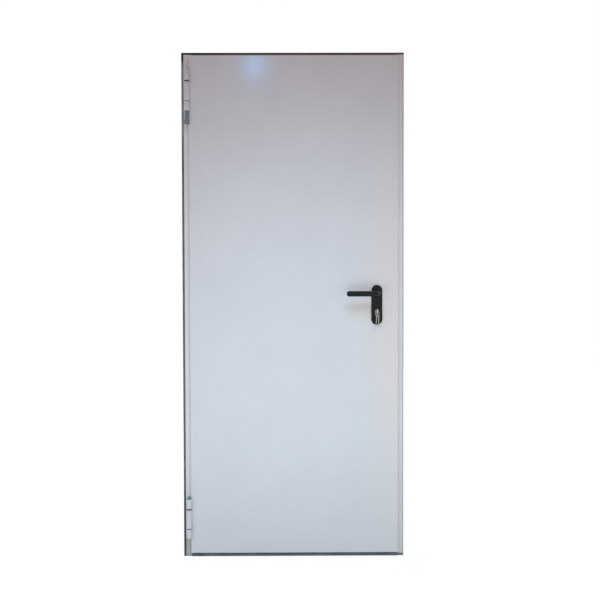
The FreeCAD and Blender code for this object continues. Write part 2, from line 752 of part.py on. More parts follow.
def lockPlug():
    """Turning core of the cylinder with the keyway that holds the blade."""
    body = newBody("lock_plug")
    sketch = sketchOn(body, "PlugSection", "XZ", "cylinderFront")
    circle(sketch, "0", "0", "plugRadius")
    pad(body, sketch, "plugLength")
    keyway = sketchOn(body, "Keyway", "XZ", "cylinderFront")
    rectangle(keyway, "0 - keyHalf - keyFit", "keyHalf + keyFit",
              "0 - bladeHalf - keyFit", "bladeHalf + keyFit")
    pocket(body, keyway, "keyBladeLength + keyFit")
    body.Placement = Placement(Vector(size("spindleX"), 0, size("cylinderZ")), axisTurn(size("keyTilt")))


def ringCentre():
    """The ring hangs on the lower edge of the hole in the key that is in the lock."""
    return Vector(size("spindleX"), size("cylinderFront - shankEnd"), size("cylinderZ - ringSag - ringRadius"))


def keyRing():
    """Ring of square wire, turned about its own axis, which is parallel to Y."""
    body = newBody("key_ring")
    section = sketchOn(body, "RingSection", "XY")
    rectangle(section, "ringRadius - ringWire", "ringRadius + ringWire", "0 - ringWire", "ringWire")
    ring = body.newObject("PartDesign::Revolution", "Ring")
    ring.Profile = section
    ring.ReferenceAxis = (section, ["V_Axis"])
    ring.Angle = 4 * rightAngle
    body.Placement = Placement(ringCentre(), Rotation())


def spareKeys():
    """Two keys that hang from the ring, spread a little to either side."""
    spread = math.radians(size("spareSpread"))
    reach = size("ringRadius")
    centre = ringCentre()
    keys = []
    for name, side in (("LeftKey", -1), ("RightKey", 1)):
        body = keyBody(name)
        x = centre.x + side * reach * math.sin(spread)
        z = centre.z - reach * math.cos(spread) - size("ringSag")
        hang = Rotation(Vector(1, 0, 0), -rightAngle)
        turned = Rotation(Vector(0, 0, 1), side * size("spareTurn"))
        body.Placement = Placement(Vector(x, centre.y, z), axisTurn(-side * size("spareSplay")) * turned * hang)
        keys.append(body)
    pair = doc.addObject("Part::Compound", "spare_keys")
    pair.Label = "spare_keys"
    pair.Links = keys


# Hinges
def knuckle(body, name, low, height):
    barrel = sketchOn(body, name + "Barrel", "XY", low)
    circle(barrel, "axisX", "axisY", "knuckleRadius")
    pad(body, barrel, height)
    bore = sketchOn(body, name + "Bore", "XY", low)
    circle(bore, "axisX", "axisY", "pinRadius + pinFit")
    pocket(body, bore, height)


def frameKnuckles(label, spans):
    """Upper and lower knuckle, each on a foot that passes the leaf's edge to the face of the hinge jamb."""
    body = newBody(label)
    for name, (low, height) in spans.items():
        foot = sketchOn(body, name + "Foot", "XY", low)
        rectangle(foot, "axisX - footHalf", "lipLeft - footLeafGap", "axisY", "0")
        pad(body, foot, height)
        knuckle(body, name, low, height)


def leafKnuckle(label, low):
    """Knuckle on a foot that is welded to the front of the leaf, just inside its edge."""
    body = newBody(label)
    foot = sketchOn(body, "LeafFoot", "XY", low)
    rectangle(foot, "lipLeft", "axisX + knuckleRadius", "axisY", "leafFront")
    pad(body, foot, "leafKnuckle")
    knuckle(body, "Middle", low, "leafKnuckle")


def hingeRound(kind, label, low, sizes):
    """Part primitive that stands on the hinge axis."""
    solid = doc.addObject(kind, label)
    solid.Label = label
    for name, words in sizes.items():
        solid.setExpression(name, cells(words))
    solid.setExpression("Placement.Base.x", cells("axisX"))
    solid.setExpression("Placement.Base.y", cells("axisY"))
    solid.setExpression("Placement.Base.z", cells(low))
    return solid


def hingeLevels(top):
    """Top and bottom of the leaf's knuckle and bottom of the knuckle under it."""
    leafTop = f"{top} - topKnuckle - bearingGap"
    leafLow = f"{leafTop} - leafKnuckle"
    return {"leafTop": leafTop, "leafLow": leafLow, "footLow": f"{leafLow} - footGap - bottomKnuckle"}


def hinge(name, top):
    levels = hingeLevels(top)
    frameKnuckles(f"{name}_hinge_frame_knuckles", {"Top": (f"{top} - topKnuckle", "topKnuckle"),
                                                   "Bottom": (levels["footLow"], "bottomKnuckle")})
    leafKnuckle(f"{name}_hinge_leaf_knuckle", levels["leafLow"])
    hingeRound("Part::Cylinder", f"{name}_hinge_pin", levels["footLow"],
               {"Radius": "pinRadius", "Height": "hingeSpan"})


def hingeBearings(tops):
    """Bearing ring between the top knuckle and the leaf's, one to a hinge, in one node."""
    body = newBody("hinge_bearings")
    for name, top in tops.items():
        ring = sketchOn(body, name + "Bearing", "XY", hingeLevels(top)["leafTop"] + " + bearingFit")
        circle(ring, "axisX", "axisY", "bearingRadius")
        circle(ring, "axisX", "axisY", "pinRadius + pinFit")
        pad(body, ring, "bearingGap - bearingFit")


def hingeCaps(tops):
    """Low blunt cap on the upper hinge and a pointed one on the lower, in one node."""
    blunt = hingeRound("Part::Cone", "UpperCap", tops["upper"],
                       {"Radius1": "capRadius", "Radius2": "bluntTipRadius", "Height": "bluntHeight"})
    pointed = hingeRound("Part::Cone", "LowerCap", tops["lower"],
                         {"Radius1": "capRadius", "Radius2": "capTipRadius", "Height": "capHeight"})
    caps = doc.addObject("Part::Compound", "hinge_caps")
    caps.Label = "hinge_caps"
    caps.Links = [blunt, pointed]


def springAdjuster():
    """Sleeve over the closing spring and, under it, the collar that winds it."""
    sleeveTop = "upperHingeTop - hingeSpan"
    hingeRound("Part::Cylinder", "spring_sleeve", f"{sleeveTop} - springSleeve",
               {"Radius": "springSleeveRadius", "Height": "springSleeve"})
    collar = hingeRound("Part::Cylinder", "spring_collar_blank", f"{sleeveTop} - springSleeve - springCollar",
                        {"Radius": "springCollarRadius", "Height": "springCollar"})
    hole = hingeRound("Part::Cylinder", "tommy_hole", f"{sleeveTop} - springSleeve - collarHalf",
                      {"Radius": "tommyHoleRadius", "Height": "springCollarRadius + springCollarRadius"})
    hole.setExpression("Placement.Base.y", cells("axisY - springCollarRadius"))
    hole.Placement.Rotation = Rotation(Vector(1, 0, 0), -rightAngle)
    cut = doc.addObject("Part::Cut", "spring_collar")
    cut.Label = "spring_collar"
    cut.Base = collar
    cut.Tool = hole


hingeJamb()
lockJamb()
frameHead()
threshold()
jointStrip()
frameSeal()
keeperBox()
leafFrontSkin()
leafBackSkin()
leafCore()
bottomSeal()
lockCase()
forend()
bolt("latch_bolt", "leverHeight", "latchHalf")
bolt("dead_bolt", "boltZ", "boltHalf")
profileCylinder()
handlePlate("front_handle_plate", "plateFront", "plateFront")
handlePlate("back_handle_plate", "leafBack", "plateBack")
leverHandle("front_lever", "leafFront - leverSeat", "leverFrontY", False)
leverHandle("back_lever", "leafBack + leverSeat", "leverBackY", True)
leverSpindle()
doorKey()
lockPlug()
keyRing()
spareKeys()
hingeTops = {"upper": "upperHingeTop", "lower": "lowerHingeTop"}
for name, top in hingeTops.items():
    hinge(name, top)
hingeBearings(hingeTops)
hingeCaps(hingeTops)
springAdjuster()
doc.recompute()

for item in doc.Objects:
    if "Invalid" in item.State or "Error" in item.State:
        raise RuntimeError(f"{item.Label} failed: {item.State}")

solidTypes = ("PartDesign::Body", "Part::Cut", "Part::Compound", "Part::Cylinder")
used = {part for item in doc.Objects if item.TypeId in ("Part::Cut", "Part::Compound")
        for part in item.OutList}
nodes = [item for item in doc.Objects if item.TypeId in solidTypes and item not in used]
for node in nodes:
    if node.Shape.isNull() or not node.Shape.isValid():
        raise RuntimeError(f"{node.Label} has no valid shape")

os.makedirs("parts", exist_ok=True)
for node in nodes:
    node.Shape.exportStep(f"parts/{node.Label}.step")
    print(node.Label, round(node.Shape.Volume), len(node.Shape.Solids))
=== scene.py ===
import json
import math
import bmesh
import bpy
from mathutils import Matrix, Vector


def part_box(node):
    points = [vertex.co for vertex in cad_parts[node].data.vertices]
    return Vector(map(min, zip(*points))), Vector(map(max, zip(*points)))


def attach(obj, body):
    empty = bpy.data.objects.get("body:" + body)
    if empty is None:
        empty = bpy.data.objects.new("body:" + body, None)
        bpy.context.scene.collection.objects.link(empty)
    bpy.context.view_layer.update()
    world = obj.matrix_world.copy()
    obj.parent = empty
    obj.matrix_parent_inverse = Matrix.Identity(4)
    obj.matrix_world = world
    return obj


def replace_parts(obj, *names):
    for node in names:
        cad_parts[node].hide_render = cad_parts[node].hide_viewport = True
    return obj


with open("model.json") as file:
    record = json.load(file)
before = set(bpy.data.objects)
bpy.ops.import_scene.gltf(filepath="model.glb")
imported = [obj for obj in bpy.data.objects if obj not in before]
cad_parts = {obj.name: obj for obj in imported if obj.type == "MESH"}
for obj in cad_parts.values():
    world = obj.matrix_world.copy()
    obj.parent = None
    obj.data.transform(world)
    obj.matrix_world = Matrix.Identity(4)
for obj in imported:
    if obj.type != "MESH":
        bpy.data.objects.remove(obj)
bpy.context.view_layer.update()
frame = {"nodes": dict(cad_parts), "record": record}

nodes = frame["nodes"]
print("frame loaded:", len(nodes), "nodes")


# shader building

def newMaterial(name):
    material = bpy.data.materials.new(name)
    material.use_nodes = True
    tree = material.node_tree
    tree.nodes.clear()
    output = tree.nodes.new("ShaderNodeOutputMaterial")
    shader = tree.nodes.new("ShaderNodeBsdfPrincipled")
    tree.links.new(shader.outputs["BSDF"], output.inputs["Surface"])
    coords = tree.nodes.new("ShaderNodeTexCoord")
    return material, tree, shader, coords.outputs["Object"]


def stretched(tree, coords, scale):
    mapping = tree.nodes.new("ShaderNodeMapping")
    mapping.inputs["Scale"].default_value = scale
    tree.links.new(coords, mapping.inputs["Vector"])
    return mapping.outputs["Vector"]


def noise(tree, coords, scale, detail=3.0, roughness=0.5, stretch=None):
    texture = tree.nodes.new("ShaderNodeTexNoise")
    texture.inputs["Scale"].default_value = scale
    texture.inputs["Detail"].default_value = detail
    texture.inputs["Roughness"].default_value = roughness
    source = stretched(tree, coords, stretch) if stretch else coords
    tree.links.new(source, texture.inputs["Vector"])
    return texture.outputs["Fac"]


def ramp(tree, value, stops):
    node = tree.nodes.new("ShaderNodeValToRGB")
    elements = node.color_ramp.elements
    while len(elements) < len(stops):
        elements.new(0.5)
    for element, (place, colour) in zip(elements, stops):
        element.position = place
        element.color = (*colour, 1.0) if isinstance(colour, tuple) else (colour, colour, colour, 1.0)
    tree.links.new(value, node.inputs["Fac"])
    return node.outputs["Color"]


cloudRun = (0.35, 0.65)  # the part of a noise's range that most of it lies in
lineRun = (0.3, 0.7)


def twoTone(tree, value, run, first, second):
    return ramp(tree, value, [(run[0], first), (run[1], second)])


def spread(tree, value, low, high, toLow, toHigh):  # smooth step from one range to another
    node = tree.nodes.new("ShaderNodeMapRange")
    node.interpolation_type = "SMOOTHSTEP"
    for name, number in (("From Min", low), ("From Max", high), ("To Min", toLow), ("To Max", toHigh)):
        node.inputs[name].default_value = number
    tree.links.new(value, node.inputs["Value"])
    return node.outputs["Result"]


def combine(tree, operation, first, second):
    node = tree.nodes.new("ShaderNodeMath")
    node.operation = operation
    for socket, value in zip(node.inputs, (first, second)):
        if isinstance(value, (int, float)):
            socket.default_value = value
        else:
            tree.links.new(value, socket)
    return node.outputs["Value"]


def blendColours(tree, amount, first, second, kind="MIX"):
    node = tree.nodes.new("ShaderNodeMix")
    node.data_type = "RGBA"
    node.blend_type = kind
    for name, value in (("Factor_Float", amount), ("A_Color", first), ("B_Color", second)):
        socket = next(item for item in node.inputs if item.identifier == name)
        if isinstance(value, tuple):
            socket.default_value = (*value, 1.0)
        elif isinstance(value, (int, float)):
            socket.default_value = value
        else:
            tree.links.new(value, socket)
    return next(item for item in node.outputs if item.identifier == "Result_Color")


def axisOf(tree, coords, name):
    split = tree.nodes.new("ShaderNodeSeparateXYZ")
    tree.links.new(coords, split.inputs["Vector"])
    return split.outputs[name]


def softSpot(tree, coords, spot, ragged):  # 1 inside an upright oval, fading outwards with a ragged edge
    width, height = spot["size"]
    across, up = spot["centre"]
    mapping = tree.nodes.new("ShaderNodeMapping")
    mapping.inputs["Location"].default_value = (-across / width, 0.0, -up / height)
    mapping.inputs["Scale"].default_value = (1.0 / width, 0.0, 1.0 / height)
    tree.links.new(coords, mapping.inputs["Vector"])
    length = tree.nodes.new("ShaderNodeVectorMath")
    length.operation = "LENGTH"
    tree.links.new(mapping.outputs["Vector"], length.inputs[0])
    wobble = combine(tree, "MULTIPLY", ragged, spot["ragged"])
    distance = combine(tree, "ADD", length.outputs["Value"], wobble)
    shift = spot["ragged"] / 2
    return spread(tree, distance, spot["core"] + shift, 1.0 + shift, spot["amount"], 0.0)


def bump(tree, shader, height, strength, distance, under=None):
    node = tree.nodes.new("ShaderNodeBump")
    node.inputs["Strength"].default_value = strength
    node.inputs["Distance"].default_value = distance
    tree.links.new(height, node.inputs["Height"])
    if under:
        tree.links.new(under, node.inputs["Normal"])
    tree.links.new(node.outputs["Normal"], shader.inputs["Normal"])
    return node.outputs["Normal"]


# finishes

reliefDepth = {"metal": 0.0002, "plastic": 0.0003, "joint": 0.0004, "cap": 0.0004}


def jambShadeAndPatch(tree, coords, height, grimeAndPaintedLightNoise, look, colour):  # painted shade on the frame's face, and a greyer patch under the lower hinge
    across = axisOf(tree, coords, "X")
    edge = combine(tree, "ADD", height, combine(tree, "MULTIPLY", grimeAndPaintedLightNoise, look["patchRagged"]))
    below = spread(tree, edge, look["patchTop"] - look["patchFade"], look["patchTop"], 1.0, 0.0)
    beside = spread(tree, across, look["patchRight"], look["patchRight"] + look["edgeFade"], 1.0, 0.0)
    belowHinge = combine(tree, "MULTIPLY", below, beside)  # greyer under the lower hinge
    colour = blendColours(tree, belowHinge, colour, look["patch"])
    wall = look["wallEdge"]
    edgeShade = spread(tree, across, wall, wall + look["edgeFade"], 0.0, look["edgeShadeAmount"])
    colour = blendColours(tree, edgeShade, colour, look["edgeShadeColour"])  # painted shade along the lock jamb's outer edge
    foot = spread(tree, height, look["footTop"] * look["footSolid"], look["footTop"], 1.0, 0.0)
    footShadeMask = combine(tree, "MULTIPLY", foot, spread(tree, across, *look["footRun"], *look["footAmount"]))
    return blendColours(tree, footShadeMask, colour, look["footShadeColour"])  # painted shade at the jambs' feet, darker on the lock side


def paintMaterial(name, look):  # sprayed steel with orange peel, specks and grime low down
    material, tree, shader, coords = newMaterial(name)
    mottle = noise(tree, coords, look["mottleScale"], detail=4.0, roughness=0.6)
    colour = twoTone(tree, mottle, cloudRun, look["shade"], look["light"])
    grains = noise(tree, coords, look["speckScale"], detail=1.0, roughness=0.4)
    specks = twoTone(tree, grains, (look["speckFrom"], look["speckFrom"] + look["speckFade"]), 0.0, 1.0)
    colour = blendColours(tree, specks, colour, look["speck"])
    height = axisOf(tree, coords, "Z")
    grimeAndPaintedLightNoise = noise(tree, coords, look["grimeScale"], detail=5.0, roughness=0.65, stretch=look["grimeStretch"])
    low = spread(tree, height, 0.0, look["dirtTop"], look["dirtAmount"], 0.0)
    colour = blendColours(tree, combine(tree, "MULTIPLY", low, grimeAndPaintedLightNoise), colour, look["dirt"])
    for spot in look.get("paintedSpots", ()):  # painted light and shadow on the leaf: a warm pool of lamp light along the lock edge, the lever's soft shadow below it
        colour = blendColours(tree, softSpot(tree, coords, spot, grimeAndPaintedLightNoise), colour, spot["colour"])
    if "patch" in look:
        colour = jambShadeAndPatch(tree, coords, height, grimeAndPaintedLightNoise, look, colour)
    tree.links.new(colour, shader.inputs["Base Color"])
    smooth, rough = look["roughness"] - look["roughnessSwing"], look["roughness"] + look["roughnessSwing"]
    tree.links.new(spread(tree, mottle, *lineRun, smooth, rough), shader.inputs["Roughness"])
    shader.inputs["Specular IOR Level"].default_value = look["specular"]
    shader.inputs["Coat Weight"].default_value = look["coat"]
    shader.inputs["Coat Roughness"].default_value = look["coatRoughness"]
    # the sheet isn't quite flat
    waves = noise(tree, coords, look["waveScale"], detail=1.5, roughness=0.4)
    panel = bump(tree, shader, waves, look["waveStrength"], look["waveDepth"])
    peel = noise(tree, coords, look["peelScale"], detail=2.0)
    bump(tree, shader, peel, look["peelStrength"], look["peelDepth"], panel)
    return material


def metalMaterial(name, look):  # fine drawn lines along one axis
    material, tree, shader, coords = newMaterial(name)
    lines = noise(tree, coords, look["lineScale"], roughness=0.6, stretch=look["stretch"])
    colour = twoTone(tree, lines, lineRun, look["dark"], look["bright"])
    if "darkBehind" in look:  # the lock's faces behind the keys are darker than the keys in front of them
        behind = spread(tree, axisOf(tree, coords, "Y"), *look["darkBehindRun"], 0.0, 1.0)
        colour = blendColours(tree, behind, colour, look["darkBehind"])
    tree.links.new(colour, shader.inputs["Base Color"])
    shader.inputs["Metallic"].default_value = look.get("metallic", 1.0)
    tree.links.new(spread(tree, lines, *lineRun, look["smooth"], look["rough"]), shader.inputs["Roughness"])
    bump(tree, shader, lines, look.get("bump", 0.15), reliefDepth["metal"])
    return material


def plasticMaterial(name, look):  # fine grain, slightly uneven sheen
    material, tree, shader, coords = newMaterial(name)
    cloud = noise(tree, coords, look["cloudScale"], detail=4.0, roughness=0.6)
    colour = twoTone(tree, cloud, cloudRun, look["dark"], look["bright"])
    tree.links.new(colour, shader.inputs["Base Color"])
    tree.links.new(spread(tree, cloud, *lineRun, look["smooth"], look["rough"]), shader.inputs["Roughness"])
    grain = noise(tree, coords, look["grainScale"], detail=2.0)
    bump(tree, shader, grain, look["grain"], reliefDepth["plastic"])
    shader.inputs["Specular IOR Level"].default_value = look.get("shine", 0.5)
    return material


leafPaint = {
    "light": (0.661, 0.671, 0.691), "shade": (0.638, 0.648, 0.668), "mottleScale": 5.0,
    "speck": (0.50, 0.50, 0.51), "speckScale": 300.0, "speckFrom": 0.745, "speckFade": 0.03,
    "dirt": (0.50, 0.49, 0.47), "dirtTop": 0.5, "dirtAmount": 0.35,
    "grimeScale": 9.0, "grimeStretch": (1.0, 1.0, 0.35),
    "roughness": 0.34, "roughnessSwing": 0.03, "specular": 0.3, "coat": 0.6, "coatRoughness": 0.135,
    "peelScale": 420.0, "peelStrength": 0.20, "peelDepth": 0.0004,
    "waveScale": 5.0, "waveStrength": 0.10, "waveDepth": 0.004,
}
# painted light and shade: a warm band of lamp light along the lock edge, and the lever's tan shadow under the
# lever
paintedLightAndShadow = [
    {"centre": (0.435, 0.90), "size": (0.230, 1.15), "core": 0.10, "ragged": 0.15,
     "amount": 1.0, "colour": (0.712, 0.667, 0.640)},
    {"centre": (0.290, 1.005), "size": (0.085, 0.060), "core": 0.45, "ragged": 0.35,
     "amount": 0.8, "colour": (0.665, 0.635, 0.575)},
]
# the frame's paint is lighter than the leaf's, a painted brightening that offsets the shade the leaf's lip
# throws on the jambs
framePaintBrightened = dict(leafPaint, light=(0.765, 0.745, 0.735), shade=(0.725, 0.705, 0.695), dirtAmount=0.6,
                  patch=(0.46, 0.45, 0.43), patchTop=0.084, patchRight=-0.405, patchRagged=0.006,
                  patchFade=0.004, edgeFade=0.002, wallEdge=0.4435, edgeShadeColour=(0.42, 0.42, 0.43),
                  edgeShadeAmount=0.9, footTop=0.016, footSolid=0.4, footRun=(-0.40, 0.40),
                  footAmount=(0.35, 0.92), footShadeColour=(0.09, 0.095, 0.10))
hingePaint = dict(leafPaint, light=(0.666, 0.666, 0.677), shade=(0.614, 0.616, 0.631),
                  mottleScale=30.0, roughness=0.38)

finishes = {
    "leaf_paint": paintMaterial("leafPaint", dict(leafPaint, paintedSpots=paintedLightAndShadow)),
    "frame_paint": paintMaterial("framePaintBrightened", framePaintBrightened),
    "hinge_paint": paintMaterial("hingePaint", hingePaint),
    "threshold_dark": plasticMaterial("thresholdDark", {
        "dark": (0.070, 0.078, 0.087), "bright": (0.150, 0.160, 0.172), "cloudScale": 14.0,
        "smooth": 0.5, "rough": 0.75, "grainScale": 600.0, "grain": 0.3}),
    "seal_rubber": plasticMaterial("sealRubber", {
        "dark": (0.010, 0.010, 0.011), "bright": (0.022, 0.022, 0.024), "cloudScale": 20.0,
        "smooth": 0.6, "rough": 0.8, "grainScale": 900.0, "grain": 0.25}),
    "mineral_core": plasticMaterial("mineralCore", {
        "dark": (0.26, 0.21, 0.12), "bright": (0.42, 0.36, 0.23), "cloudScale": 60.0,
        "smooth": 0.9, "rough": 1.0, "grainScale": 700.0, "grain": 0.8}),
    "black_plastic": plasticMaterial("blackPlastic", {
        "dark": (0.0050, 0.0050, 0.0056), "bright": (0.0100, 0.0100, 0.0110), "cloudScale": 24.0,
        "smooth": 0.26, "rough": 0.36, "grainScale": 1500.0, "grain": 0.10, "shine": 0.20}),
    "bearing_dark": plasticMaterial("bearingDark", {
        "dark": (0.012, 0.012, 0.016), "bright": (0.035, 0.035, 0.045), "cloudScale": 120.0,
        "smooth": 0.45, "rough": 0.6, "grainScale": 900.0, "grain": 0.2}),
    "zinc_steel": metalMaterial("zincSteel", {
        "dark": (0.50, 0.50, 0.49), "bright": (0.66, 0.66, 0.65), "lineScale": 60.0,
        "stretch": (1.0, 1.0, 1.0), "smooth": 0.35, "rough": 0.5}),
    "bright_steel": metalMaterial("brightSteel", {
        "dark": (0.52, 0.52, 0.52), "bright": (0.70, 0.70, 0.69), "lineScale": 300.0,
        "stretch": (1.0, 1.0, 0.02), "smooth": 0.22, "rough": 0.36}),
    "spring_steel": metalMaterial("springSteel", {
        "dark": (0.035, 0.045, 0.060), "bright": (0.30, 0.34, 0.40), "lineScale": 420.0,
        "stretch": (1.0, 1.0, 0.03), "smooth": 0.35, "rough": 0.55, "metallic": 0.6, "bump": 0.4}),
    "nickel": metalMaterial("nickel", {
        "dark": (0.56, 0.53, 0.49), "bright": (0.74, 0.71, 0.66), "lineScale": 500.0,
        "stretch": (1.0, 0.05, 0.05), "smooth": 0.22, "rough": 0.38,
        "darkBehind": (0.30, 0.28, 0.25), "darkBehindRun": (-0.0370, -0.0365)}),
}


jointLook = {
    "blackest": ((0.006, 0.005, 0.005), (0.018, 0.016, 0.016)),
    "darkGrey": ((0.085, 0.085, 0.10), (0.15, 0.15, 0.175)),
    "midGrey": ((0.22, 0.21, 0.23), (0.34, 0.33, 0.36)),
    "blackestFrom": (2.000, 2.022), "midGreyFrom": (1.60, 1.78), "footTo": (0.02, 0.30), "footAmount": 0.6,
    "headGrey": (0.135, 0.125, 0.120), "headRun": (-0.42, -0.15), "headAmount": 0.85,
    "cloudScale": 25.0, "grainScale": 700.0, "grain": 0.3, "roughness": 0.8,
}


# near black round the top corner, mid grey beside the upper hinge, dark grey below
def jointMaterial(name, look):
    material, tree, shader, coords = newMaterial(name)
    height = axisOf(tree, coords, "Z")
    cloud = noise(tree, coords, look["cloudScale"], detail=5.0, roughness=0.6)
    shades = {key: twoTone(tree, cloud, cloudRun, *look[key]) for key in ("blackest", "darkGrey", "midGrey")}
    midGrey = spread(tree, height, *look["midGreyFrom"], 0.0, 1.0)
    top = spread(tree, height, *look["blackestFrom"], 0.0, 1.0)
    foot = spread(tree, height, *look["footTo"], look["footAmount"], 0.0)
    colour = blendColours(tree, midGrey, shades["darkGrey"], shades["midGrey"])
    colour = blendColours(tree, combine(tree, "MAXIMUM", top, foot), colour, shades["blackest"])
    # the top run turns grey past the corner
    across = spread(tree, axisOf(tree, coords, "X"), *look["headRun"], 0.0, look["headAmount"])
    colour = blendColours(tree, combine(tree, "MULTIPLY", across, top), colour, look["headGrey"])
    tree.links.new(colour, shader.inputs["Base Color"])
    shader.inputs["Roughness"].default_value = look["roughness"]
    bump(tree, shader, noise(tree, coords, look["grainScale"]), look["grain"], reliefDepth["joint"])
    return material


capLook = {
    "shade": (0.10, 0.14, 0.17), "light": (0.17, 0.22, 0.26), "cloudScale": 90.0, "upperFrom": (0.9, 1.1),
    "grainScale": 420.0, "grain": 0.12, "roughness": 0.42,
}


def capMaterial(name, look, paint):  # the lower cap is dark, the upper one painted over
    material, tree, shader, coords = newMaterial(name)
    cloud = noise(tree, coords, look["cloudScale"])
    dark = twoTone(tree, cloud, cloudRun, look["shade"], look["light"])
    painted = twoTone(tree, cloud, cloudRun, paint["shade"], paint["light"])
    upper = spread(tree, axisOf(tree, coords, "Z"), *look["upperFrom"], 0.0, 1.0)
    tree.links.new(blendColours(tree, upper, dark, painted), shader.inputs["Base Color"])
    shader.inputs["Roughness"].default_value = look["roughness"]
    grain = noise(tree, coords, look["grainScale"], detail=2.0)
    bump(tree, shader, grain, look["grain"], reliefDepth["cap"])
    return material


finishes["joint_black"] = jointMaterial("jointBlack", jointLook)
finishes["hinge_cap"] = capMaterial("hingeCap", capLook, hingePaint)
for row in frame["record"]["subparts"]:
    node = nodes[row["node"]]
    node.data.materials.clear()
    node.data.materials.append(finishes[row["material_slot"]])


# pieces

meshRules = {"weld": 1e-6, "sharpAngle": 40.0}


# a bmesh becomes a closed object that rides on a body
def finishPiece(mesh, name, body, slot, flatFrom=math.inf):
    bmesh.ops.remove_doubles(mesh, verts=mesh.verts, dist=meshRules["weld"])
    bmesh.ops.holes_fill(mesh, edges=[edge for edge in mesh.edges if edge.is_boundary], sides=0)
    bmesh.ops.recalc_face_normals(mesh, faces=mesh.faces)
    narrow = [face.calc_area() / max(edge.calc_length() for edge in face.edges) < flatFrom
              for face in mesh.faces]
    data = bpy.data.meshes.new(name)
    mesh.to_mesh(data)
    mesh.free()
    data.materials.append(finishes[slot])
    piece = bpy.data.objects.new(name, data)
    bpy.context.scene.collection.objects.link(piece)
    data.set_sharp_from_angle(angle=math.radians(meshRules["sharpAngle"]))
    data.polygons.foreach_set("use_smooth", narrow)  # wide faces stay flat
    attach(piece, body)
    return piece


def onlyVerts(made):
    return [item for item in made if isinstance(item, bmesh.types.BMVert)]


def roundEdges(mesh, edges, radius, segments=2):
    bmesh.ops.bevel(mesh, geom=edges, offset=radius, offset_type="OFFSET", segments=segments, profile=0.5,
                    affect="EDGES", clamp_overlap=True, material=-1)


def pushFace(mesh, face, move):  # moves a face, walls it in and gives it back
    made = bmesh.ops.extrude_face_region(mesh, geom=[face])["geom"]
    bmesh.ops.delete(mesh, geom=[face], context="FACES_ONLY")
    bmesh.ops.translate(mesh, verts=onlyVerts(made), vec=move)
    return next(item for item in made if isinstance(item, bmesh.types.BMFace))


# a merged copy of the solid with its sharp edges broken
def softenedNode(name, node, body, slot, look):
    mesh = bmesh.new()
    mesh.from_mesh(nodes[node].data)
    bmesh.ops.remove_doubles(mesh, verts=mesh.verts, dist=look["merge"])
    bmesh.ops.dissolve_limit(mesh, angle_limit=math.radians(look["flat"]), verts=mesh.verts, edges=mesh.edges,
                             use_dissolve_boundaries=False)
    sharp = [edge for edge in mesh.edges
             if len(edge.link_faces) == 2 and edge.calc_face_angle(0.0) > math.radians(look["sharp"])]
    roundEdges(mesh, sharp, look["round"])
    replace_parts(finishPiece(mesh, name, body, slot, look["flatFrom"]), node)


def extrudeRing(mesh, edges, move, scale=1.0, centre=None):  # gives the new ring
    made = bmesh.ops.extrude_edge_only(mesh, edges=edges)["geom"]
    verts = onlyVerts(made)
    bmesh.ops.translate(mesh, verts=verts, vec=move)
    if scale != 1.0:
        about = Matrix.Translation(centre) @ Matrix.Scale(scale, 4) @ Matrix.Translation(-centre)
        bmesh.ops.transform(mesh, matrix=about, verts=verts)
    return [item for item in made if isinstance(item, bmesh.types.BMEdge)]


bodies = frame["record"]["behaviour"]["bodies"]
bodyOf = {node: body for body, members in bodies.items() for node in members}
slotOf = {row["node"]: row["material_slot"] for row in frame["record"]["subparts"]}
rounding = {"merge": 1e-5, "flat": 0.4, "sharp": 25.0, "flatFrom": 0.004}
softened = {
    "upperFrameKnuckles": ("upper_hinge_frame_knuckles", 0.0007),
    "upperLeafKnuckle": ("upper_hinge_leaf_knuckle", 0.0007),
    "lowerFrameKnuckles": ("lower_hinge_frame_knuckles", 0.0007),
    "lowerLeafKnuckle": ("lower_hinge_leaf_knuckle", 0.0007),
    "bearingRings": ("hinge_bearings", 0.0005),
    "frontPlate": ("front_handle_plate", 0.0006),
    "backPlate": ("back_handle_plate", 0.0006),
    "cylinderBody": ("profile_cylinder", 0.0003),
    "plugCore": ("lock_plug", 0.0002),
    "keyInLock": ("door_key", 0.0003),
    "keysOnRing": ("spare_keys", 0.0003),
    "forendStrip": ("forend", 0.0003),
    "leafFace": ("leaf_front_skin", 0.0004),
    "leafBack": ("leaf_back_skin", 0.0004),
    "hingeJamb": ("hinge_jamb", 0.0005),
    "lockJamb": ("lock_jamb", 0.0005),
    "frameTop": ("frame_head", 0.0005),
    "thresholdBar": ("threshold", 0.0005),
}
for name, (node, edge) in softened.items():
    softenedNode(name, node, bodyOf[node], slotOf[node], dict(rounding, round=edge))
print("edges softened on:", len(softened), "nodes")

lever = {"segments": 40, "bendSteps": 12, "bendRadius": 0.016, "tipSteps": 8, "tipLength": 0.009,
         "flatFrom": 0.004}


